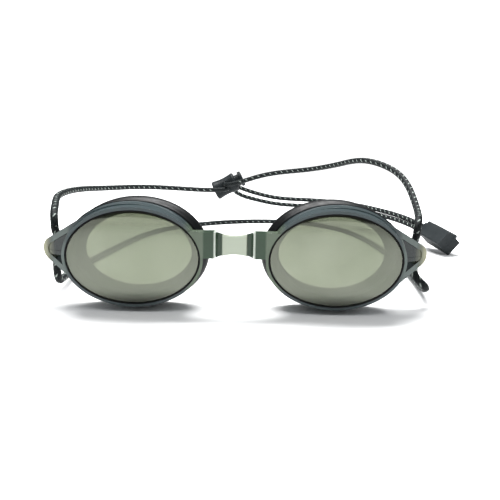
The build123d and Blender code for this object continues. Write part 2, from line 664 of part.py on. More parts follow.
with BuildPart() as tail_cord_upper:
    with BuildLine() as tail_path:
        tail_run = Spline(
            (upper_hole.X, TAIL_PIVOT_Y, upper_hole.Z),
            *cord_points(upper_tail_points),
            tail_end(END_CORD_OFFSET, -1.5),
            tangents=[Vector(0.2, 1, 0.1).normalized(), end_x],
            tangent_scalars=STEADY,
        )
        in_end = Line(tail_run @ 1, tail_end(END_CORD_OFFSET, END_CORD_DEPTH))
    sweep(cord_section(tail_run), path=tail_path.wire())
    with Locations(tail_run @ 0):
        Sphere(CORD_R - BALL_INSET)
save(tail_cord_upper.part, "tail_cord_upper")

with BuildPart() as tail_cord_lower:
    with BuildLine() as tail_path:
        tail_run = Spline(
            (lower_hole.X, TAIL_PIVOT_Y, lower_hole.Z),
            *cord_points(lower_tail_points),
            tail_end(-END_CORD_OFFSET, -1.5),
            tangents=[Vector(0.2, 1, -0.3).normalized(), end_x],
            tangent_scalars=STEADY,
        )
        in_end = Line(tail_run @ 1, tail_end(-END_CORD_OFFSET, END_CORD_DEPTH))
    sweep(cord_section(tail_run), path=tail_path.wire())
    with Locations(tail_run @ 0):
        Sphere(CORD_R - BALL_INSET)
save(tail_cord_lower.part, "tail_cord_lower")
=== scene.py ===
"""Swim goggles with a braided bungee strap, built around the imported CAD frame.

Everything is in metres in the frame's own axes: +X right seen from the front, +Y towards the face, +Z up.
"""

import math

import bmesh
import bpy
import numpy as np
from mathutils import Matrix, Vector


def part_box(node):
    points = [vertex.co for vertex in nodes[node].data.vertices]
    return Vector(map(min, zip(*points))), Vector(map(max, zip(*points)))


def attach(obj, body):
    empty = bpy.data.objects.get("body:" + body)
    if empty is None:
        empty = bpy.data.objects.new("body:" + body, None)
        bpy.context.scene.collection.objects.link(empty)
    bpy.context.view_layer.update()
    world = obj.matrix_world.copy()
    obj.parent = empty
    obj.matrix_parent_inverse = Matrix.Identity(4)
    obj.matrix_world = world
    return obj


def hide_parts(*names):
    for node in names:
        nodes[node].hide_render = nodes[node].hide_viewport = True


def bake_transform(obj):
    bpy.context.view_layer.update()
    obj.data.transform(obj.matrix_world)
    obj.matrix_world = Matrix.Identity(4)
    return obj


MM = 0.001

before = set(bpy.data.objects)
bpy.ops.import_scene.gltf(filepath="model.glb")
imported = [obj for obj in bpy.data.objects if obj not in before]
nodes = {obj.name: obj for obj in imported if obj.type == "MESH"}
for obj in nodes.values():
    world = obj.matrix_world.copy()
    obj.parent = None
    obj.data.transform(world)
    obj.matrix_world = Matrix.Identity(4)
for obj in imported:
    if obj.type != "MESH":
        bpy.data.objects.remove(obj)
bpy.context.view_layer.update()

# ---------------------------------------------------------------- measurements from the frame

FLOOR_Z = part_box("left_gasket")[0].z
lens_low, lens_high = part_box("left_lens")
LENS_X = (lens_low.x + lens_high.x) / 2
LENS_Z = (lens_low.z + lens_high.z) / 2
CUP_X, CUP_Z = -40.7 * MM, -5.1 * MM       # a lens sits a little nearer the nose than its cup
SIDES = {"left": 1, "right": -1}           # multiplies CUP_X and LENS_X, which are the left side's

CORD_R = 1.55 * MM
LOCK_SEAM_Y = 200.0                        # cords meet their tails out of sight in the lock
EAR_X, EAR_Y = 74.6, 13.0                  # where the cord runs through each ear, in mm
UPPER_PIVOT_Z, LOWER_PIVOT_Z = 3.4, -12.4
EAR_BOW = 1.9                              # how far the cord bows towards the cup inside an ear
EAR_SWEEP_X, EAR_FRONT_Y = 63.0, 0.5       # the ears' front starts to sweep back here
EAR_SWEEP_SLOPE = 7.0 / 14.6
ON_FLOOR = -25.95                          # height of the middle of a cord that lies on the table

# ---------------------------------------------------------------- node materials


def add_node(tree, kind, settings=None, **inputs):
    """Make a shader node. An input is a value or another node's output; _ in its name is a space."""
    made = tree.nodes.new(kind)
    for name, value in (settings or {}).items():
        setattr(made, name, value)
    for name, value in inputs.items():
        socket = made.inputs[name.replace("_", " ")]
        if isinstance(value, bpy.types.NodeSocket):
            tree.links.new(value, socket)
        else:
            socket.default_value = value
    return made


def new_material(name):
    """An empty node material and its tree."""
    material = bpy.data.materials.new(name)
    material.use_nodes = True
    material.node_tree.nodes.clear()
    return material, material.node_tree


def finish_material(tree, surface):
    """Join a shader to the material's output."""
    out = add_node(tree, "ShaderNodeOutputMaterial")
    tree.links.new(surface, out.inputs["Surface"])


def rgb(*values):
    """A colour with full alpha."""
    return (*values, 1.0)


def noise(tree, scale, detail=4.0, stretch=(1, 1, 1)):
    """Noise over the object's own coordinates, in features per metre."""
    where = add_node(tree, "ShaderNodeTexCoord")
    mapped = add_node(tree, "ShaderNodeMapping", Vector=where.outputs["Object"], Scale=stretch)
    made = add_node(
        tree, "ShaderNodeTexNoise", Vector=mapped.outputs["Vector"], Scale=scale, Detail=detail
    )
    return made.outputs["Fac"]


def ramp(tree, factor, low, high, low_at=0.3, high_at=0.7):
    """A two-colour ramp over a factor."""
    made = add_node(tree, "ShaderNodeValToRGB", Fac=factor)
    made.color_ramp.elements[0].position = low_at
    made.color_ramp.elements[0].color = low
    made.color_ramp.elements[1].position = high_at
    made.color_ramp.elements[1].color = high
    return made.outputs["Color"]


def value_ramp(tree, factor, low, high, low_at=0.3, high_at=0.7):
    """A ramp of plain values over a factor."""
    made = add_node(
        tree,
        "ShaderNodeMapRange",
        Value=factor,
        From_Min=low_at,
        From_Max=high_at,
        To_Min=low,
        To_Max=high,
    )
    return made.outputs["Result"]


def bump(tree, height, distance, strength=1.0):
    """Surface normals from a height."""
    made = add_node(
        tree, "ShaderNodeBump", Height=height, Distance=distance, Strength=strength
    )
    return made.outputs["Normal"]


DULL = 0.12                                # specular level of rubber, cord and textured plastic
COATING_FACING, COATING_EDGE = 0.35, 0.8   # share of a lens's mirror coating, face on and at its edge
TIP_STARTS, TIP_FULL = 72.5, 75.0          # where an ear's arms turn into its pale tip, painted light shining through the thin plastic, in mm


def moulded(name, dark, light, roughness, grain, grain_depth):
    """Opaque moulded plastic or rubber: mottled colour, uneven gloss and a fine moulded grain."""
    material, tree = new_material(name)
    mottle = noise(tree, 90.0)
    fine = noise(tree, grain, detail=2.0)
    shader = add_node(
        tree,
        "ShaderNodeBsdfPrincipled",
        Base_Color=ramp(tree, mottle, dark, light),
        Roughness=value_ramp(tree, noise(tree, 350.0), roughness - 0.05, roughness + 0.07),
        Specular_IOR_Level=DULL,
        Normal=bump(tree, fine, grain_depth),
    )
    finish_material(tree, shader.outputs["BSDF"])
    return material


def swept_front_mask(tree, reach, depth):
    """1 on the arms of the ears, which lie at the ears' swept front and get painted light, and 0 on what is
    set back.
    """
    past = add_node(tree, "ShaderNodeMath", settings={"operation": "SUBTRACT"}, Value=reach)
    past.inputs[1].default_value = EAR_SWEEP_X * MM
    front = add_node(
        tree, "ShaderNodeMath", settings={"operation": "MULTIPLY_ADD"}, Value=past.outputs["Value"]
    )
    front.inputs[1].default_value = EAR_SWEEP_SLOPE
    front.inputs[2].default_value = EAR_FRONT_Y * MM
    behind = add_node(tree, "ShaderNodeMath", settings={"operation": "SUBTRACT"}, Value=depth)
    tree.links.new(front.outputs["Value"], behind.inputs[1])
    at_front = value_ramp(tree, behind.outputs["Value"], 1.0, 0.0, 0.12 * MM, 0.3 * MM)
    on_ear = value_ramp(tree, reach, 0.0, 1.0, 64 * MM, 66 * MM)
    both = add_node(tree, "ShaderNodeMath", settings={"operation": "MULTIPLY"}, Value=at_front)
    tree.links.new(on_ear, both.inputs[1])
    return both.outputs["Value"]


def mix_colors(tree, factor, first, second):
    """Two colours mixed by a factor. A colour is a value or another node's output."""
    made = add_node(tree, "ShaderNodeMix", settings={"data_type": "RGBA"}, Factor=factor)
    sockets = [socket for socket in made.inputs if socket.type == "RGBA"]
    for socket, color in zip(sockets, (first, second)):
        if isinstance(color, bpy.types.NodeSocket):
            tree.links.new(color, socket)
        else:
            socket.default_value = color
    return next(socket for socket in made.outputs if socket.type == "RGBA")


def banded_plastic(name, bands, transmission, roughness, lit_arm_color=None):
    """Tinted moulded plastic whose colour changes with distance from the middle plane.

    The bands are (distance in mm, colour) pairs. Ear arms may get a lighter colour, painted light on their
    front faces.
    """
    material, tree = new_material(name)
    where = add_node(tree, "ShaderNodeTexCoord")
    axes = add_node(tree, "ShaderNodeSeparateXYZ", Vector=where.outputs["Object"])
    reach = add_node(tree, "ShaderNodeMath", settings={"operation": "ABSOLUTE"}, Value=axes.outputs["X"])
    furthest = bands[-1][0]
    share = value_ramp(tree, reach.outputs["Value"], 0.0, 1.0, 0.0, furthest * MM)
    colors = add_node(tree, "ShaderNodeValToRGB", Fac=share)
    stops = colors.color_ramp.elements
    stops[0].color = bands[0][1]
    stops[1].color = bands[-1][1]
    for distance, color in bands[1:-1]:
        stops.new(distance / furthest).color = color
    cloud = ramp(tree, noise(tree, 60.0, detail=2.0), rgb(0.9, 0.9, 0.9), rgb(1.0, 1.0, 1.0))
    banded = colors.outputs["Color"]
    if lit_arm_color:
        tip = value_ramp(tree, reach.outputs["Value"], 1.0, 0.0, TIP_STARTS * MM, TIP_FULL * MM)
        # the arms get the lighter colour of painted light, which fades out towards the tip
        mask = swept_front_mask(tree, reach.outputs["Value"], axes.outputs["Y"])
        arms = add_node(tree, "ShaderNodeMath", settings={"operation": "MULTIPLY"}, Value=mask)
        tree.links.new(tip, arms.inputs[1])
        banded = mix_colors(tree, arms.outputs["Value"], banded, lit_arm_color)
    tinted = add_node(tree, "ShaderNodeVectorMath", settings={"operation": "MULTIPLY"})
    tree.links.new(banded, tinted.inputs[0])
    tree.links.new(cloud, tinted.inputs[1])
    shader = add_node(
        tree,
        "ShaderNodeBsdfPrincipled",
        Base_Color=tinted.outputs["Vector"],
        Roughness=value_ramp(tree, noise(tree, 500.0), roughness, roughness + 0.06),
        IOR=1.46,
        Specular_IOR_Level=0.4,
        Transmission_Weight=transmission,
        Normal=bump(tree, noise(tree, 160.0, detail=1.0), 0.03 * MM, 0.25),
    )
    finish_material(tree, shader.outputs["BSDF"])
    return material


def mirrored_lens(name):
    """See-through tinted lens with a weak mirror coating."""
    material, tree = new_material(name)
    cloud = noise(tree, 45.0, detail=2.0)
    through = add_node(
        tree,
        "ShaderNodeBsdfTransparent",
        Color=ramp(tree, cloud, rgb(0.375, 0.4, 0.325), rgb(0.41, 0.435, 0.36)),
    )
    coating = add_node(
        tree,
        "ShaderNodeBsdfGlossy",
        Color=ramp(tree, cloud, rgb(0.28, 0.3, 0.245), rgb(0.315, 0.33, 0.28)),
        Roughness=value_ramp(tree, noise(tree, 600.0), 0.03, 0.07),
    )
    edge = add_node(tree, "ShaderNodeLayerWeight", Blend=0.35)
    share = value_ramp(tree, edge.outputs["Facing"], COATING_FACING, COATING_EDGE, 0.0, 1.0)
    mixed = add_node(tree, "ShaderNodeMixShader", Fac=share)
    tree.links.new(through.outputs["BSDF"], mixed.inputs[1])
    tree.links.new(coating.outputs["BSDF"], mixed.inputs[2])
    finish_material(tree, mixed.outputs["Shader"])
    return material


def braided_cord(name):
    """Black braided cover: painted light on the raised strands, painted shade in the grooves, and some picks
    reflect.
    """
    material, tree = new_material(name)
    strand = add_node(tree, "ShaderNodeAttribute", settings={"attribute_name": "strand"})
    fleck = add_node(tree, "ShaderNodeAttribute", settings={"attribute_name": "fleck"})
    threads = noise(tree, 2600.0, detail=2.0)
    # painted shade in the braid's grooves and painted light on its raised strands, following the strand
    # height
    groove_shading = ramp(tree, strand.outputs["Fac"], GROOVE_SHADE, RAISED_STRAND_LIGHT, 0.2, 1.0)
    out_color = mix_colors(tree, fleck.outputs["Fac"], groove_shading, FLECK_COLOR)
    shader = add_node(
        tree,
        "ShaderNodeBsdfPrincipled",
        Base_Color=out_color,
        Roughness=value_ramp(tree, threads, 0.45, 0.7),
        Specular_IOR_Level=DULL,
        Normal=bump(tree, threads, 0.06 * MM),
    )
    finish_material(tree, shader.outputs["BSDF"])
    return material


def metal(name, color, roughness):
    """Drawn metal with fine lines along it."""
    material, tree = new_material(name)
    lines = noise(tree, 900.0, stretch=(1, 0.1, 1))
    shader = add_node(
        tree,
        "ShaderNodeBsdfPrincipled",
        Base_Color=color,
        Metallic=1.0,
        Roughness=value_ramp(tree, lines, roughness, roughness + 0.15),
        Normal=bump(tree, lines, 0.02 * MM),
    )
    finish_material(tree, shader.outputs["BSDF"])
    return material


# painted shade of the braid's grooves and painted light of its raised strands
GROOVE_SHADE, RAISED_STRAND_LIGHT = rgb(0.002, 0.003, 0.003), rgb(0.014, 0.018, 0.019)
FLECK_COLOR = rgb(0.36, 0.41, 0.38)
# Painted light: the ears' thin tips are pale olive, as light shining through them, and fade darker inwards
TIP_SHINE_THROUGH = rgb(0.33, 0.33, 0.22)
TIP_SHINE_FADE = rgb(0.16, 0.17, 0.12)
SMOKE = rgb(0.05, 0.068, 0.072)
# Painted shade: the ears' set-back web is painted near black, as the dark inside of their openings
EAR_OPENING_SHADE = rgb(0.01, 0.018, 0.018)
# Painted light: the ears' front-facing arms are lighter than the cup's own smoke plastic
LIT_ARM_GREY = rgb(0.11, 0.14, 0.13)
SOCKET_GREEN = rgb(0.115, 0.15, 0.105)
NECK_GREEN = rgb(0.025, 0.055, 0.028)
PALE_GREEN = rgb(0.46, 0.51, 0.41)
MOUTH_LIGHT = rgb(0.60, 0.66, 0.58)
CUP_BANDS = [
    (0.0, MOUTH_LIGHT),
    (7.8, MOUTH_LIGHT),
    (8.2, NECK_GREEN),
    (11.8, NECK_GREEN),
    (12.4, SOCKET_GREEN),
    (17.0, SOCKET_GREEN),
    (20.0, SMOKE),
    (64.0, SMOKE),
    # painted shade in the ears' openings
    (67.0, EAR_OPENING_SHADE),
    (72.0, EAR_OPENING_SHADE),
    (75.0, TIP_SHINE_FADE),
    (76.5, TIP_SHINE_THROUGH),
    (78.0, TIP_SHINE_THROUGH),
]
BRIDGE_BANDS = [(0.0, PALE_GREEN), (4.5, PALE_GREEN), (5.0, NECK_GREEN), (13.0, NECK_GREEN)]
MATERIALS = {
    "cup": banded_plastic("cup_plastic", CUP_BANDS, 0.12, 0.06, LIT_ARM_GREY),
    "bridge": banded_plastic("bridge_plastic", BRIDGE_BANDS, 0.15, 0.12),
    "lens": mirrored_lens("lens_coating"),
    "seal": moulded(
        "seal_rubber", rgb(0.002, 0.002, 0.002), rgb(0.005, 0.005, 0.005), 0.5, 1800.0, 0.02 * MM
    ),
    "gasket": moulded(
        "gasket_silicone", rgb(0.003, 0.003, 0.0035), rgb(0.007, 0.008, 0.009), 0.4, 1500.0, 0.03 * MM
    ),
    "cord": braided_cord("cord_braid"),
    "lock": moulded(
        "lock_plastic", rgb(0.007, 0.010, 0.011), rgb(0.016, 0.02, 0.022), 0.45, 2200.0, 0.05 * MM
    ),
    "cord_end": moulded(
        "cord_end_plastic", rgb(0.012, 0.016, 0.018), rgb(0.024, 0.029, 0.031), 0.45, 2200.0, 0.05 * MM
    ),
    "steel": metal("pin_steel", rgb(0.6, 0.6, 0.6), 0.25),
    "crimp": metal("crimp_aluminium", rgb(0.72, 0.72, 0.73), 0.35),
}

# ---------------------------------------------------------------- mesh helpers


def paint(piece, slot):
    """Give a piece its slot's material."""
    piece.data.materials.clear()
    piece.data.materials.append(MATERIALS[slot])


def shade_smooth(piece, angle=40.0):
    """Smooth shading that keeps edges sharper than an angle."""
    mesh = piece.data
    mesh.polygons.foreach_set("use_smooth", [True] * len(mesh.polygons))
    bm = bmesh.new()
    bm.from_mesh(mesh)
    for edge in bm.edges:
        edge.smooth = edge.calc_face_angle(math.pi) < math.radians(angle)
    bm.to_mesh(mesh)
    bm.free()


def soften(piece, width):
    """Round a CAD node's sharp edges and shade it smoothly, without touching its own vertices."""
    custom = piece.data.attributes.get("custom_normal")
    if custom:
        piece.data.attributes.remove(custom)
    piece.data.polygons.foreach_set("use_smooth", [True] * len(piece.data.polygons))
    weld = piece.modifiers.new("joined_faces", "WELD")
    weld.merge_threshold = 0.001 * MM
    if width:
        bevel = piece.modifiers.new("rounded_edges", "BEVEL")
        bevel.width = width
        bevel.segments = 2
        bevel.limit_method = "ANGLE"
        bevel.angle_limit = math.radians(35)
    normals = piece.modifiers.new("even_shading", "WEIGHTED_NORMAL")
    normals.keep_sharp = True


def grid_piece(name, rings, closed_along=False):
    """A mesh from closed rings of points, each joined to the next. The last may be joined to the first."""
    count = len(rings[0])
    points = [tuple(p) for ring in rings for p in ring]
    faces = []
    ring_steps = len(rings) if closed_along else len(rings) - 1
    for i in range(ring_steps):
        a, b = i * count, ((i + 1) % len(rings)) * count
        for j in range(count):
            k = (j + 1) % count
            faces.append((a + j, a + k, b + k, b + j))
    if not closed_along:
        faces.append(tuple(reversed(range(count))))
        faces.append(tuple((len(rings) - 1) * count + j for j in range(count)))
    mesh = bpy.data.meshes.new(name)
    mesh.from_pydata(points, [], faces)
    mesh.validate()
    piece = bpy.data.objects.new(name, mesh)
    bpy.context.scene.collection.objects.link(piece)
    bm = bmesh.new()
    bm.from_mesh(mesh)
    bmesh.ops.recalc_face_normals(bm, faces=bm.faces)
    bm.to_mesh(mesh)
    bm.free()
    return piece


def smooth_loop(points, steps):
    """Points along a closed Catmull-Rom curve through the given points."""
    p = [np.array(q, float) for q in points]
    n = len(p)
    out = []
    for i in range(n):
        a, b, c, d = p[i - 1], p[i], p[(i + 1) % n], p[(i + 2) % n]
        for k in range(steps):
            t = k / steps
            out.append(
                0.5
                * (2 * b + (c - a) * t + (2 * a - 5 * b + 4 * c - d) * t**2 + (3 * b - a - 3 * c + d) * t**3)
            )
    return out


# ---------------------------------------------------------------- lens and gasket of each cup


def oval_ring(side, left_centre_x, centre_z, half_x, half_z, y, count=128):
    """Points round an oval at a depth. Its centre is given for the left side, in metres, its size in mm."""
    turns = [2 * math.pi * k / count for k in range(count)]
    centre_x = left_centre_x * SIDES[side]
    return [
        (centre_x + half_x * MM * math.cos(t), y * MM, centre_z + half_z * MM * math.sin(t)) for t in turns
    ]


# Half width, half height, depth and shift towards the nose, in mm
GASKET_PROFILE = [
    (27.55, 20.75, 5.05, 0.0),
    (27.85, 21.3, 6.0, 0.55),
    (28.15, 22.0, 7.5, 1.35),
    (28.2, 22.35, 9.2, 1.95),
    (27.95, 22.15, 10.8, 2.0),
    (27.1, 21.3, 12.4, 2.0),
    (25.6, 19.95, 13.3, 1.9),
    (24.2, 18.2, 13.5, 1.6),
    (22.9, 16.5, 13.2, 1.2),
    (22.1, 15.4, 12.5, 1.0),
    (21.95, 15.3, 11.6, 0.9),
    (22.6, 16.0, 10.0, 0.4),
    (23.7, 17.1, 8.7, 0.0),
    (25.0, 18.4, 8.4, 0.0),
    (25.05, 18.45, 6.8, 0.0),
    (25.1, 18.5, 5.1, 0.0),
]


LENS_DOME, LENS_HOLLOW = 0.7, 0.5          # mm the front bulges and the back is hollowed


def build_gasket(side):
    """Soft flared seal with a rounded lip."""
    rings = [
        oval_ring(side, CUP_X + shift * MM, CUP_Z, half_x, half_z, y)
        for half_x, half_z, y, shift in smooth_loop(GASKET_PROFILE, steps=3)
    ]
    piece = grid_piece(f"{side}_gasket_lip", rings, closed_along=True)
    shade_smooth(piece, 50)
    paint(piece, "gasket")
    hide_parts(f"{side}_gasket")
    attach(piece, f"{side}_cup")


def build_lens(side):
    """Domed lens with a ground edge. Its front is the CAD lens's dome."""
    half_x = (lens_high.x - lens_low.x) / 2 / MM
    half_z = (lens_high.z - lens_low.z) / 2 / MM
    front, back = lens_low.y / MM, lens_high.y / MM
    front_shares = (0.02, 0.15, 0.3, 0.45, 0.6, 0.75, 0.88, 0.96)
    back_shares = (0.9, 0.7, 0.45, 0.2, 0.02)
    edge = front + LENS_DOME
    # Share of the lens's size, inset and depth of each ring, from the front's middle round to the back's
    sizes = [(share, 0.0, front + LENS_DOME * share**2) for share in front_shares]
    sizes += [(1, 0.12, edge), (1, 0.0, edge + 0.15), (1, 0.0, back - 0.15), (1, 0.15, back)]
    sizes += [(share, 0.0, back - LENS_HOLLOW * (1 - share**2)) for share in back_shares]
    rings = [
        oval_ring(side, LENS_X, LENS_Z, half_x * share - inset, half_z * share - inset, y)
        for share, inset, y in sizes
    ]
    piece = grid_piece(f"{side}_mirrored_lens", rings)
    shade_smooth(piece, 30)
    paint(piece, "lens")
    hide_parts(f"{side}_lens")
    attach(piece, f"{side}_cup")


for cup_side in SIDES:
    build_gasket(cup_side)
    build_lens(cup_side)

# ---------------------------------------------------------------- braided cords

RING_STEP = 0.25                           # mm between rings of a cord's mesh
DENSE_STEP = 0.1                           # mm between the points of a curve before it is evened out
AROUND = 36                                # points round a ring
STRANDS = 6
BRAID_PITCH = 11.0                         # mm in which a strand goes once round
BRAID_DEPTH = 0.16                         # mm from the braid's grooves up to its strands
FLECK_ROWS = 4
PLAIN_START = 14.0                         # mm of cord without flecks where it bends round the lock
BRAID_SWELL = 0.07                         # mm the braid stands proud of the cord's nominal radius
FLECK_PITCH = 4.6
FLECK_LENGTH, FLECK_WIDTH = 1.4, 0.6
FLECK_SLANT = 0.7                          # mm a fleck moves round the cord per mm along it


def spline(points, start, end):
    """A smooth curve through points with unit tangents at both ends, as dense points in mm."""
    p = np.array(points, float)
    m0 = np.array(start, float) / np.linalg.norm(start)
    m1 = np.array(end, float) / np.linalg.norm(end)
    h = np.linalg.norm(np.diff(p, axis=0), axis=1)
    n = len(p)
    system = np.zeros((n, n))
    right = np.zeros((n, 3))
    system[0, 0] = system[-1, -1] = 1
    right[0], right[-1] = m0, m1
    for i in range(1, n - 1):
        system[i, i - 1], system[i, i], system[i, i + 1] = h[i], 2 * (h[i - 1] + h[i]), h[i - 1]
        before, after = (p[i] - p[i - 1]) / h[i - 1], (p[i + 1] - p[i]) / h[i]
        right[i] = 3 * (h[i] * before + h[i - 1] * after)
    slopes = np.linalg.solve(system, right)
    out = [p[0]]
    for i in range(n - 1):
        count = max(4, int(h[i] / DENSE_STEP))
        for k in range(1, count + 1):
            t = k / count
            out.append(
                (2 * t**3 - 3 * t**2 + 1) * p[i]
                + (t**3 - 2 * t**2 + t) * h[i] * slopes[i]
                + (3 * t**2 - 2 * t**3) * p[i + 1]
                + (t**3 - t**2) * h[i] * slopes[i + 1]
            )
    return np.array(out)


def line(a, b):
    """Dense points on a straight stretch, in mm."""
    count = max(2, int(np.linalg.norm(np.subtract(b, a)) / DENSE_STEP))
    return np.array([np.add(a, np.subtract(b, a) * k / count) for k in range(count + 1)])


def even_path(stretches):
    """Join stretches end to end, ease their joints and space the points evenly."""
    path = np.concatenate([s if i == 0 else s[1:] for i, s in enumerate(stretches)])
    path = resample(path, RING_STEP / 2)
    reach = 6
    padded = np.concatenate([path[:1]] * reach + [path] + [path[-1:]] * reach)
    window = np.ones(2 * reach + 1) / (2 * reach + 1)
    eased = np.stack([np.convolve(padded[:, k], window, "valid") for k in range(3)], axis=1)
    ends = np.minimum(np.arange(len(path)), np.arange(len(path))[::-1])
    keep = np.clip(ends / reach, 0, 1)[:, None]
    path = resample(path * (1 - keep) + eased * keep, RING_STEP)
    path[:, 2] = np.maximum(path[:, 2], FLOOR_Z / MM + CORD_R / MM)
    return path


def resample(path, step):
    """Points spaced evenly along a path."""
    lengths = np.concatenate([[0], np.cumsum(np.linalg.norm(np.diff(path, axis=0), axis=1))])
    count = max(2, round(lengths[-1] / step))
    wanted = np.linspace(0, lengths[-1], count + 1)
    return np.stack([np.interp(wanted, lengths, path[:, k]) for k in range(3)], axis=1)


def braid_height(turn, along):
    """Height 0..1 of a two-way braid at a share of a turn and a distance along it in mm."""
    a = STRANDS * (turn + along / BRAID_PITCH)
    b = STRANDS * (turn - along / BRAID_PITCH)
    over = (np.floor(a) + np.floor(b)) % 2
    return np.where(over > 0.5, np.abs(np.sin(np.pi * a)), np.abs(np.sin(np.pi * b))) ** 0.7


def fleck_mask(turn, along):
    """1 where a reflective pick shows: staggered rows of slanting stitches round the cord."""
    around = 2 * math.pi * CORD_R / MM
    mask = 0
    for row in range(FLECK_ROWS):
        shift = FLECK_PITCH / 2 if row % 2 else 0.0
        off_along = (along - shift + FLECK_PITCH / 2) % FLECK_PITCH - FLECK_PITCH / 2
        off_around = ((turn - row / FLECK_ROWS + 0.5) % 1 - 0.5) * around - FLECK_SLANT * off_along
        reach = (off_along / (FLECK_LENGTH / 2)) ** 2 + (off_around / (FLECK_WIDTH / 2)) ** 2
        mask = mask + np.clip(1.6 - reach, 0, 1)
    return np.clip(mask, 0, 1)


def build_cord(name, stretches, plain_start=0.0):
    """A braided cord along a path in mm. Its flecks begin after a plain start."""
    path = even_path(stretches)
    tangents = np.gradient(path, axis=0)
    tangents /= np.linalg.norm(tangents, axis=1)[:, None]
    normal = np.cross(tangents[0], (0, 0, 1))
    if np.linalg.norm(normal) < 0.3:
        normal = np.cross(tangents[0], (0, 1, 0))
    normal /= np.linalg.norm(normal)
    rings, heights, flecks = [], [], []
    turns = np.arange(AROUND) / AROUND
    for i, centre in enumerate(path):
        normal = normal - tangents[i] * np.dot(normal, tangents[i])
        normal /= np.linalg.norm(normal)
        across = np.cross(tangents[i], normal)
        along = i * RING_STEP
        height = braid_height(turns, along)
        radius = CORD_R / MM + BRAID_SWELL - BRAID_DEPTH * (1 - height)
        angle = 2 * math.pi * turns
        offsets = np.cos(angle)[:, None] * normal + np.sin(angle)[:, None] * across
        rings.append((centre + offsets * radius[:, None]) * MM)
        heights.append(height)
        flecks.append(fleck_mask(turns, along) * (along >= plain_start))
    piece = grid_piece(name, rings)
    for attribute_name, values in (("strand", heights), ("fleck", flecks)):
        attribute = piece.data.attributes.new(attribute_name, "FLOAT", "POINT")
        attribute.data.foreach_set("value", np.concatenate(values).astype(np.float32))
    shade_smooth(piece, 80)
    paint(piece, "cord")
    return piece


def unit(*v):
    """A direction of length one."""
    return np.array(v, float) / np.linalg.norm(v)


# Where the two cords pass through the lock
LOCK_TILT = math.radians(26.6)
LOCK_X, LOCK_Z = -12.2, 4.7
PASS_OFFSET = 1.7                          # mm from the lock's axis to the middle of each cord
LOWER_HOLE = (LOCK_X + PASS_OFFSET * math.sin(LOCK_TILT), LOCK_Z - PASS_OFFSET * math.cos(LOCK_TILT))
UPPER_HOLE = (LOCK_X - PASS_OFFSET * math.sin(LOCK_TILT), LOCK_Z + PASS_OFFSET * math.cos(LOCK_TILT))
LOCK_ENTRY_Y, TAIL_PIVOT_Y = 187.5, 216.0
BEND_LENGTH = 5.8                          # mm in front of the lock in which a cord bends to its run


def bend_out(hole, dx, dz):
    """The bend from the lock's passage to a cord's run, as an arc in its own plane."""
    start = np.array((hole[0], LOCK_ENTRY_Y, hole[1]))
    end = start + np.array((dx, -BEND_LENGTH, dz))
    chord = end - start
    tangent = np.array((0.0, -1.0, 0.0))
    side = chord - tangent * np.dot(chord, tangent)
    width = np.linalg.norm(side)
    side /= width
    reach = np.dot(chord, tangent)
    radius = (width**2 + reach**2) / (2 * width)
    sweep = math.asin(min(1.0, reach / radius))
    if width > radius:
        sweep = math.pi - sweep
    angles = np.linspace(0, sweep, 40)
    arc = [start + tangent * radius * math.sin(t) + side * radius * (1 - math.cos(t)) for t in angles]
    leave = tangent * math.cos(sweep) + side * math.sin(sweep)
    return np.array(arc), leave


left_up, right_up = unit(-0.1, 0.15, 1), unit(0.1, 0.15, 1)
right_down = unit(0.15, -0.45, -0.9)
STUB = 1.2                                 # mm a cord goes straight on out of an ear
LEFT_DROP = 2.2                            # mm the lower cord goes straight down out of the left ear


def bend_behind_ears(piece):
    """Bake a cord's placement into its mesh."""
    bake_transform(piece)


def upper_cord(name, hole, dx, dz, points, ear_x, ear_up):
    """A cord from the lock to the top of an ear."""
    in_lock = line((hole[0], LOCK_SEAM_Y, hole[1]), (hole[0], LOCK_ENTRY_Y, hole[1]))
    arc, leave = bend_out(hole, dx, dz)
    ear = np.array((ear_x, EAR_Y, UPPER_PIVOT_Z))
    near_ear = ear + ear_up * STUB
    run = spline([arc[-1], *points, near_ear], leave, -ear_up)
    plain = LOCK_SEAM_Y - LOCK_ENTRY_Y + PLAIN_START
    piece = build_cord(name, [in_lock, arc, run, line(near_ear, ear)], plain)
    bend_behind_ears(piece)
    return piece


left_points = [
    (-43.0, 178.5, 3.6),
    (-65.0, 165.0, 5.6),
    (-83.0, 131.5, 7.8),
    (-88.2, 88.5, 11.0),
    (-84.7, 46.5, 11.9),
    (-78.0, 23.5, 10.0),
]
right_points = [
    (12.0, 178.5, 13.5),
    (39.1, 162.0, 19.1),
    (60.1, 128.5, 25.5),
    (71.1, 98.0, 28.8),
    (80.5, 76.0, 24.6),
    (82.5, 54.0, 17.1),
    (78.8, 26.5, 9.0),
]
left_strap = upper_cord("left_strap", LOWER_HOLE, -4.5, -0.2, left_points, -EAR_X, left_up)
right_strap = upper_cord("right_strap", UPPER_HOLE, 4.5, 1.0, right_points, EAR_X, right_up)
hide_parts("upper_cord_left")
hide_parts("upper_cord_right")


def ear_run(side_x):
    """The cord down through an ear, bowed towards the cup."""
    top = (side_x, EAR_Y, UPPER_PIVOT_Z)
    bottom = (side_x, EAR_Y, LOWER_PIVOT_Z)
    inward = -EAR_BOW if side_x > 0 else EAR_BOW
    middle = (side_x + inward, EAR_Y, (UPPER_PIVOT_Z + LOWER_PIVOT_Z) / 2)
    return spline([top, middle, bottom], (0, 0, -1), (0, 0, -1))


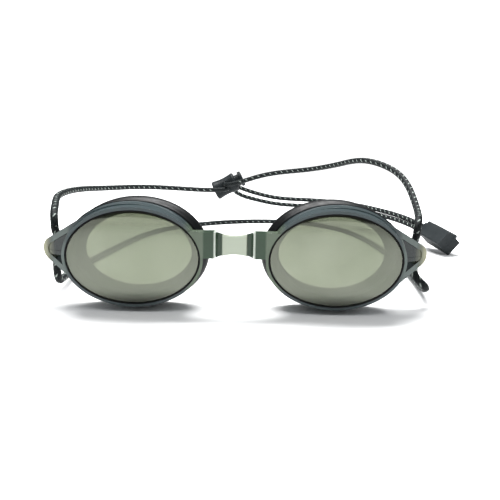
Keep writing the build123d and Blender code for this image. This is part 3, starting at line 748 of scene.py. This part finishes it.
def lower_strap():
    """One cord from the top of the left ear, down through it, round the back and up the right ear."""
    start = np.array((-EAR_X, EAR_Y, LOWER_PIVOT_Z))
    drop_end = start + np.array((0, 0, -LEFT_DROP))
    arc_end = np.array((-EAR_X - 0.8, EAR_Y + 5.6, -20.8))
    arc_leave = (-0.14, 0.985, -0.09)
    arc = spline([drop_end, (-EAR_X - 0.23, 14.6, -18.8), arc_end], (0, 0, -1), arc_leave)
    right_ear = np.array((EAR_X, EAR_Y, LOWER_PIVOT_Z))
    right_stub = right_ear + right_down * STUB
    run = spline(
        [
            arc_end,
            (-79.5, 60.0, ON_FLOOR + 1.2),
            (-73.0, 118.0, ON_FLOOR + 0.15),
            (-57.0, 176.0, ON_FLOOR),
            (-28.5, 207.6, ON_FLOOR),
            (9.6, 224.0, ON_FLOOR),
            (42.0, 221.0, ON_FLOOR),
            (68.0, 199.0, ON_FLOOR),
            (84.0, 150.0, ON_FLOOR),
            (88.0, 95.0, ON_FLOOR + 0.15),
            (85.5, 45.0, ON_FLOOR + 1.5),
            (81.2, 17.0, -21.2),
            (78.0, 10.4, -17.6),
            right_stub,
        ],
        arc_leave,
        -right_down,
    )
    stretches = [
        ear_run(-EAR_X),
        line(start, drop_end),
        arc,
        run,
        line(right_stub, right_ear),
        ear_run(EAR_X)[::-1],
    ]
    piece = build_cord("lower_strap_loop", stretches)
    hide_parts("lower_cord", "left_ear_cord", "right_ear_cord")
    bend_behind_ears(piece)


lower_strap()

# The cord end's own axes: along its length from the neck, across it, and towards its lid
END_NECK = np.array((118.1, 137.9, -15.8))
end_x = unit(7.9, -23.9, -4.3)
lid_hint = np.array((-0.755, 0.0, 0.656))
end_z = unit(*(lid_hint - end_x * np.dot(lid_hint, end_x)))
end_y = np.cross(end_z, end_x)
END_CORD_OFFSET, END_CORD_DEPTH = 1.65, 13.0
END_CORD_STRAIGHT = 1.5                    # mm a tail is straight before the cord end's neck


def tail_cord(name, hole, points, offset, leave, node):
    """A tail from inside the lock to its crimp in the cord end."""
    pivot = (hole[0], TAIL_PIVOT_Y, hole[1])
    neck = END_NECK + end_y * offset - end_x * END_CORD_STRAIGHT
    stretches = [
        line((hole[0], LOCK_SEAM_Y, hole[1]), pivot),
        spline([pivot, *points, neck], leave, end_x),
        line(neck, END_NECK + end_y * offset + end_x * END_CORD_DEPTH),
    ]
    piece = build_cord(name, stretches, TAIL_PIVOT_Y - LOCK_SEAM_Y)
    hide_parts(node)
    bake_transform(piece)


tail_cord(
    "upper_tail",
    UPPER_HOLE,
    [
        (-7.5, 223.5, 3.0),
        (6.0, 231.5, -3.0),
        (28.0, 240.2, -8.6),
        (52.0, 238.7, -9.6),
        (79.0, 219.0, -9.3),
        (97.2, 186.0, -9.5),
        (110.4, 160.5, -11.2),
    ],
    END_CORD_OFFSET,
    (0.2, 1, 0.1),
    "tail_cord_upper",
)
tail_cord(
    "lower_tail",
    LOWER_HOLE,
    [
        (-5.5, 222.8, -2.9),
        (6.0, 229.8, -8.2),
        (28.0, 238.5, -13.4),
        (52.0, 237.0, -14.2),
        (78.2, 217.3, -12.5),
        (95.8, 185.7, -12.6),
        (108.9, 160.3, -14.1),
    ],
    -END_CORD_OFFSET,
    (0.2, 1, -0.3),
    "tail_cord_lower",
)

# ---------------------------------------------------------------- CAD nodes that are shown as they are

# Material slot and width of the rounded edges in mm
CARRIED = {
    "left_eyecup": ("cup", 0.25),
    "right_eyecup": ("cup", 0.25),
    "left_lens_seal": ("seal", 0.12),
    "right_lens_seal": ("seal", 0.12),
    "nose_bridge": ("bridge", 0.2),
    "cord_lock_body": ("lock", 0.25),
    "cord_lock_button": ("lock", 0.2),
    "cord_lock_spring": ("steel", 0.0),
    "cord_end_base": ("cord_end", 0.25),
    "cord_end_lid": ("cord_end", 0.25),
    "cord_end_pin": ("steel", 0.1),
    "cord_end_crimp": ("crimp", 0.1),
}
for node_name, (slot_name, edge_width) in CARRIED.items():
    node = nodes[node_name]
    soften(node, edge_width * MM)
    paint(node, slot_name)

# ---------------------------------------------------------------- floor, light and camera


FLOOR_HALF = 3.0                           # half the floor's side, in metres
GLOW_STARTS, GLOW_FULL = 0.32, 0.8         # distances from the goggles, in metres
GLOW_STRENGTH = 1.2
BACKDROP_STRENGTH = 1.5                    # of the world where the camera sees it
REFLECTION_SHARE = 0.25                    # of the world's light, in reflections


def build_floor():
    """A pale matt table."""
    mesh = bpy.data.meshes.new("floor")
    corners = [(FLOOR_HALF * i, FLOOR_HALF * j, FLOOR_Z) for i, j in ((-1, -1), (1, -1), (1, 1), (-1, 1))]
    mesh.from_pydata(corners, [], [(0, 1, 2, 3)])
    floor = bpy.data.objects.new("floor", mesh)
    bpy.context.scene.collection.objects.link(floor)
    material, tree = new_material("floor_white")
    matt = add_node(tree, "ShaderNodeBsdfDiffuse", Color=rgb(0.88, 0.88, 0.88))
    # Far from the goggles the table glows a little, so that it meets the backdrop without a line
    where = add_node(tree, "ShaderNodeTexCoord")
    distance = add_node(
        tree, "ShaderNodeVectorMath", settings={"operation": "LENGTH"}, Vector=where.outputs["Object"]
    )
    glow = add_node(tree, "ShaderNodeEmission", Strength=GLOW_STRENGTH)
    far = value_ramp(tree, distance.outputs["Value"], 0.0, 1.0, GLOW_STARTS, GLOW_FULL)
    mixed = add_node(tree, "ShaderNodeMixShader", Fac=far)
    tree.links.new(matt.outputs["BSDF"], mixed.inputs[1])
    tree.links.new(glow.outputs["Emission"], mixed.inputs[2])
    finish_material(tree, mixed.outputs["Shader"])
    mesh.materials.append(material)


def build_world():
    """White for the camera. Light comes mostly from above and behind, and reflections are dimmer."""
    world = bpy.data.worlds.new("studio")
    bpy.context.scene.world = world
    world.use_nodes = True
    tree = world.node_tree
    tree.nodes.clear()
    where = add_node(tree, "ShaderNodeTexCoord")
    axes = add_node(tree, "ShaderNodeSeparateXYZ", Vector=where.outputs["Generated"])
    above = value_ramp(tree, axes.outputs["Z"], 0.26, 0.66, -0.1, 0.9)
    behind = value_ramp(tree, axes.outputs["Y"], 0.8, 1.2, -1.0, 1.0)
    spread = add_node(tree, "ShaderNodeMath", settings={"operation": "MULTIPLY"})
    tree.links.new(above, spread.inputs[0])
    tree.links.new(behind, spread.inputs[1])
    seen = add_node(tree, "ShaderNodeLightPath")
    dimming = value_ramp(tree, seen.outputs["Is Glossy Ray"], 1.0, REFLECTION_SHARE, 0.0, 1.0)
    dimmed = add_node(tree, "ShaderNodeMath", settings={"operation": "MULTIPLY"})
    tree.links.new(spread.outputs["Value"], dimmed.inputs[0])
    tree.links.new(dimming, dimmed.inputs[1])
    # Factor, A and B of a value mix are its inputs 0, 2 and 3
    strength = add_node(tree, "ShaderNodeMix", settings={"data_type": "FLOAT"})
    tree.links.new(seen.outputs["Is Camera Ray"], strength.inputs[0])
    tree.links.new(dimmed.outputs["Value"], strength.inputs[2])
    strength.inputs[3].default_value = BACKDROP_STRENGTH
    back = add_node(tree, "ShaderNodeBackground", Color=rgb(0.95, 0.98, 1), Strength=strength.outputs[0])
    out = add_node(tree, "ShaderNodeOutputWorld")
    tree.links.new(back.outputs["Background"], out.inputs["Surface"])


def area_light(name, place, target, width, height, power):
    """A soft rectangular light aimed at a point."""
    data = bpy.data.lights.new(name, "AREA")
    data.shape = "RECTANGLE"
    data.size = width
    data.size_y = height
    data.energy = power
    light = bpy.data.objects.new(name, data)
    light.location = place
    light.rotation_euler = (Vector(target) - Vector(place)).to_track_quat("-Z", "Y").to_euler()
    bpy.context.scene.collection.objects.link(light)


CAMERA_PLACE = (0.006, -0.2063, 0.0417)
CAMERA_PITCH, CAMERA_ROLL = math.radians(12), math.radians(1.1)


def build_camera():
    """Just above the table in front, pitched down a little and rolled by about a degree."""
    data = bpy.data.cameras.new("camera")
    data.sensor_width = 36.0
    data.lens = 38.88
    data.clip_start = 0.005
    camera = bpy.data.objects.new("camera", data)
    turn = Matrix.Rotation(math.pi / 2 - CAMERA_PITCH, 4, "X") @ Matrix.Rotation(CAMERA_ROLL, 4, "Z")
    camera.matrix_world = Matrix.Translation(CAMERA_PLACE) @ turn
    bpy.context.scene.collection.objects.link(camera)
    bpy.context.scene.camera = camera


build_floor()
build_world()
area_light("softbox", (-0.05, 0.32, 0.8), (0, 0.05, 0), width=0.8, height=0.25, power=19.0)
area_light("front_strip", (0.0, -0.25, 0.5), (0, 0, 0), width=0.22, height=0.22, power=0.6)
build_camera()
bpy.context.scene.view_settings.view_transform = "Standard"
